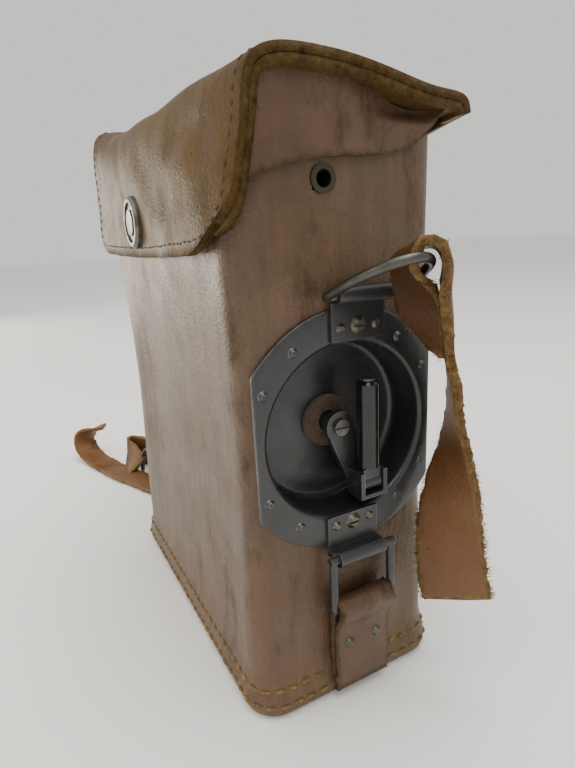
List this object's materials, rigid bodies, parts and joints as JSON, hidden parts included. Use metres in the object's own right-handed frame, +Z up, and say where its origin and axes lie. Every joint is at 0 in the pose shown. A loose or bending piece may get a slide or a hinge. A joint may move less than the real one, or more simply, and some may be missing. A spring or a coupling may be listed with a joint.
{
  "type": "field telephone",
  "caption": "Field telephone in a tall leather case with a snap-closed cover, a folding side crank in a round steel well, strap rings and a handset inside.",
  "frame": {"origin": "centre of the case's underside, where it stands", "axes": "+Z up; +X out of the narrow side with the crank; -Y out of the wide front with the snap; the cover's hinge runs along X at the back"},
  "size_m": [0.4006, 0.1223, 0.256],
  "materials": {
    "case_leather": "worn semi-gloss, scuffed",
    "cover_leather": "worn semi-gloss, tan cut edges",
    "strap_leather": "dull, fuzzy tan edges",
    "felt": "matt, rusty",
    "black_steel": "worn satin black with bright edges",
    "plated_steel": "dull, tarnished",
    "bright_steel": "satin",
    "brass": "tarnished",
    "grip_plastic": "gloss black",
    "handset_plastic": "satin black",
    "magnet_steel": "matt",
    "coil_wire": "varnished",
    "battery_sleeve": "card",
    "can": "satin"
  },
  "bodies": {
    "case": {"case_shell": "case_leather", "case_base": "case_leather", "base_strip": "case_leather", "crank_well": "black_steel", "well_rivets": "black_steel", "felt_washer": "felt", "upper_clip_right": "black_steel", "lower_clip_right": "black_steel", "clip_fasteners_right": "plated_steel", "link_right": "black_steel", "tab_right": "case_leather", "cord_eyelet": "brass", "snap_stud": "plated_steel", "left_plate": "black_steel", "upper_clip_left": "black_steel", "lower_clip_left": "black_steel", "clip_fasteners_left": "plated_steel", "link_left": "black_steel", "tab_left": "case_leather", "chassis": "bright_steel", "deck_panel": "handset_plastic", "generator_frame": "bright_steel", "generator_magnets": "magnet_steel", "ringer_coils": "coil_wire", "ringer_bracket": "bright_steel", "gongs": "brass", "battery_tray": "bright_steel", "batteries": "battery_sleeve", "induction_coil": "coil_wire", "capacitor": "can", "handset_handle": "handset_plastic", "receiver": "handset_plastic", "transmitter": "handset_plastic", "strap_fold": "strap_leather", "strap_tail": "strap_leather", "strap_hook": "black_steel"},
    "crank": {"crank_shaft": "black_steel", "crank_arm": "black_steel", "arm_screw": "plated_steel", "drive_gear": "brass", "handle_bracket": "black_steel", "handle_pin": "plated_steel"},
    "handle": {"handle_spindle": "black_steel"},
    "grip": {"handle_grip": "grip_plastic"},
    "generator_rotor": {"armature": "coil_wire", "pinion": "bright_steel"},
    "clapper": {"clapper": "bright_steel"},
    "post_front": {"line_post_front": "brass"},
    "post_rear": {"line_post_rear": "brass"},
    "switch_screw": {"mode_switch": "brass"},
    "talk_bar": {"talk_bar": "handset_plastic"},
    "cover": {"cover_leather": "cover_leather", "cover_welts": "cover_leather", "gusset_right": "case_leather", "gusset_left": "case_leather", "snap_button": "plated_steel"},
    "right_ring": {"ring_right": "plated_steel", "strap_right": "strap_leather"},
    "left_ring": {"ring_left": "plated_steel", "strap_left": "strap_leather"}
  },
  "joints": [
    {"name": "crank_spin", "type": "hinge", "parent": "case", "child": "crank", "pos_m": [0.08, 0, 0.122], "axis": [1, 0, 0], "continuous": true},
    {"name": "handle_fold", "type": "hinge", "parent": "crank", "child": "handle", "pos_m": [0.0913, 0.0095, 0.098], "axis": [0, 1, 0], "range_deg": [0, 90]},
    {"name": "grip_spin", "type": "hinge", "parent": "handle", "child": "grip", "pos_m": [0.0913, 0.0095, 0.12], "axis": [0, 0, 1], "continuous": true},
    {"name": "rotor_spin", "type": "hinge", "parent": "case", "child": "generator_rotor", "pos_m": [0.03, 0, 0.098], "axis": [1, 0, 0], "continuous": true},
    {"name": "clapper_swing", "type": "hinge", "parent": "case", "child": "clapper", "pos_m": [-0.042, 0.02, 0.041], "axis": [0, 1, 0], "range_deg": [-6, 6], "stiffness_Nm_per_rad": 0.002},
    {"name": "post_front_press", "type": "slide", "parent": "case", "child": "post_front", "axis": [0, 0, -1], "range_m": [0, 0.002], "stiffness_N_per_m": 800, "springref_m": -0.002},
    {"name": "post_rear_press", "type": "slide", "parent": "case", "child": "post_rear", "axis": [0, 0, -1], "range_m": [0, 0.002], "stiffness_N_per_m": 800, "springref_m": -0.002},
    {"name": "switch_turn", "type": "hinge", "parent": "case", "child": "switch_screw", "pos_m": [-0.07, -0.034, 0.16], "axis": [0, 0, 1], "range_deg": [0, 90]},
    {"name": "talk_press", "type": "slide", "parent": "case", "child": "talk_bar", "axis": [0, 1, 0], "range_m": [0, 0.001], "stiffness_N_per_m": 800, "springref_m": -0.002},
    {"name": "cover_hinge", "type": "hinge", "parent": "case", "child": "cover", "pos_m": [0, 0.0473, 0.2322], "axis": [-1, 0, 0], "range_deg": [0, 175]},
    {"name": "right_ring_swing", "type": "hinge", "parent": "case", "child": "right_ring", "pos_m": [0.0971, 0.004, 0.176], "axis": [0, -1, 0], "range_deg": [0, 40]},
    {"name": "left_ring_swing", "type": "hinge", "parent": "case", "child": "left_ring", "pos_m": [-0.0971, 0.004, 0.176], "axis": [0, 1, 0], "range_deg": [0, 25]}
  ],
  "couplings": [
    {"joint": "rotor_spin", "follows": "crank_spin", "ratio": -3}
  ]
}
